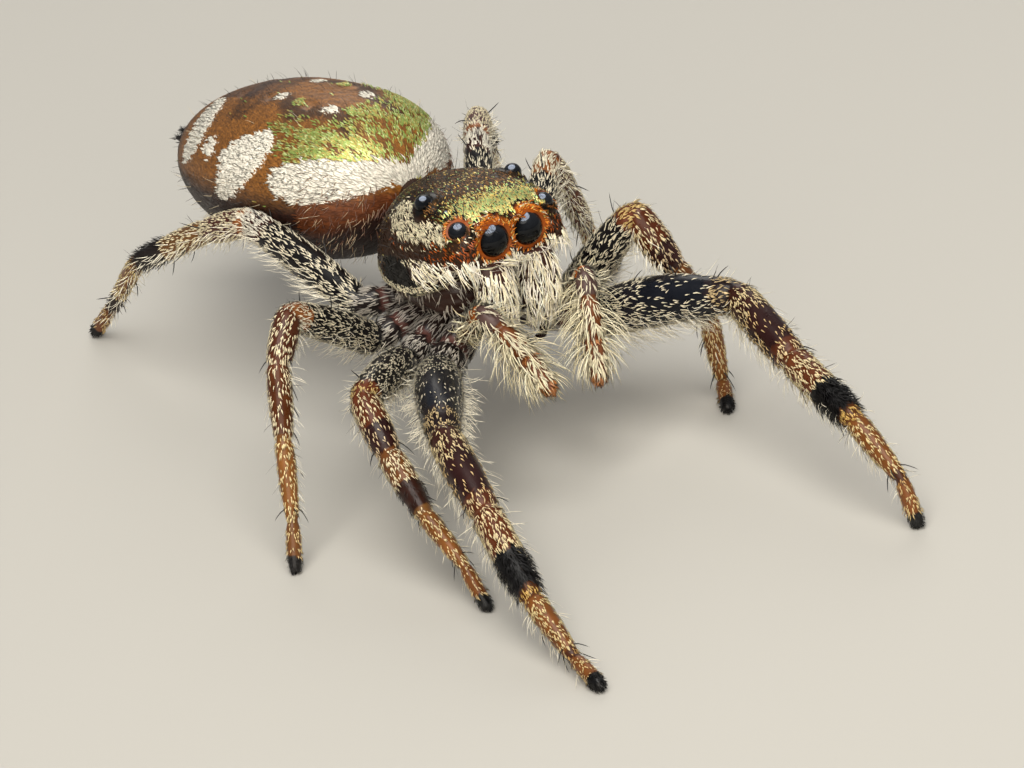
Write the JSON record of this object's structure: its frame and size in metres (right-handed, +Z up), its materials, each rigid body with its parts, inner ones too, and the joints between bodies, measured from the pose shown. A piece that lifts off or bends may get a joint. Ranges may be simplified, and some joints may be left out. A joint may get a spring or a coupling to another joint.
{
  "type": "jumping spider, still life-size model",
  "caption": "Life-size still model of a female jumping spider standing on its feet, forelegs reaching forward, with a furry patterned abdomen.",
  "frame": {"origin": "on the floor under the middle of the stance, at the bottom centre of the bounding box", "axes": "+Z up, -Y the way the spider faces, +X its own left"},
  "size_m": [0.0104, 0.018, 0.0048],
  "materials": {
    "carapace": "glossy black-brown shell with short cream, orange and green-gold scales",
    "abdomen": "orange-brown fur with wavy brown bands, white patches and green-gold scales",
    "breastplate": "satin dark purple-brown with sparse grey-white hair",
    "waist": "satin dark brown",
    "spinnerets": "satin dark brown with short hair",
    "chelicera": "satin purple-brown with long cream hair",
    "fang": "glossy black-brown",
    "palp": "orange-brown with a brush of cream bristles",
    "eye": "polished black",
    "leg_femur": "glossy blue-black with cream scales and a pale fringe",
    "leg_patella": "satin red-brown with cream and gold scales",
    "leg_tibia": "satin red-brown with cream-gold scales and a black hair ring",
    "leg_foot": "satin amber with cream scales and a black tip"
  },
  "bodies": {
    "root": {"abdomen": "abdomen", "breastplate": "breastplate", "carapace": "carapace", "chelicera_L": "chelicera", "chelicera_R": "chelicera", "eye_front_middle_L": "eye", "eye_front_middle_R": "eye", "eye_front_side_L": "eye", "eye_front_side_R": "eye", "eye_rear_L": "eye", "eye_rear_R": "eye", "eye_small_L": "eye", "eye_small_R": "eye", "fang_L": "fang", "fang_R": "fang", "leg_L1_femur": "leg_femur", "leg_L1_foot": "leg_foot", "leg_L1_patella": "leg_patella", "leg_L1_tibia": "leg_tibia", "leg_L2_femur": "leg_femur", "leg_L2_foot": "leg_foot", "leg_L2_patella": "leg_patella", "leg_L2_tibia": "leg_tibia", "leg_L3_femur": "leg_femur", "leg_L3_foot": "leg_foot", "leg_L3_patella": "leg_patella", "leg_L3_tibia": "leg_tibia", "leg_L4_femur": "leg_femur", "leg_L4_foot": "leg_foot", "leg_L4_patella": "leg_patella", "leg_L4_tibia": "leg_tibia", "leg_R1_femur": "leg_femur", "leg_R1_foot": "leg_foot", "leg_R1_patella": "leg_patella", "leg_R1_tibia": "leg_tibia", "leg_R2_femur": "leg_femur", "leg_R2_foot": "leg_foot", "leg_R2_patella": "leg_patella", "leg_R2_tibia": "leg_tibia", "leg_R3_femur": "leg_femur", "leg_R3_foot": "leg_foot", "leg_R3_patella": "leg_patella", "leg_R3_tibia": "leg_tibia", "leg_R4_femur": "leg_femur", "leg_R4_foot": "leg_foot", "leg_R4_patella": "leg_patella", "leg_R4_tibia": "leg_tibia", "palp_L_femur": "palp", "palp_L_patella": "palp", "palp_L_tarsus": "palp", "palp_L_tibia": "palp", "palp_R_femur": "palp", "palp_R_patella": "palp", "palp_R_tarsus": "palp", "palp_R_tibia": "palp", "spinnerets": "spinnerets", "waist": "waist"}
  },
  "joints": []
}
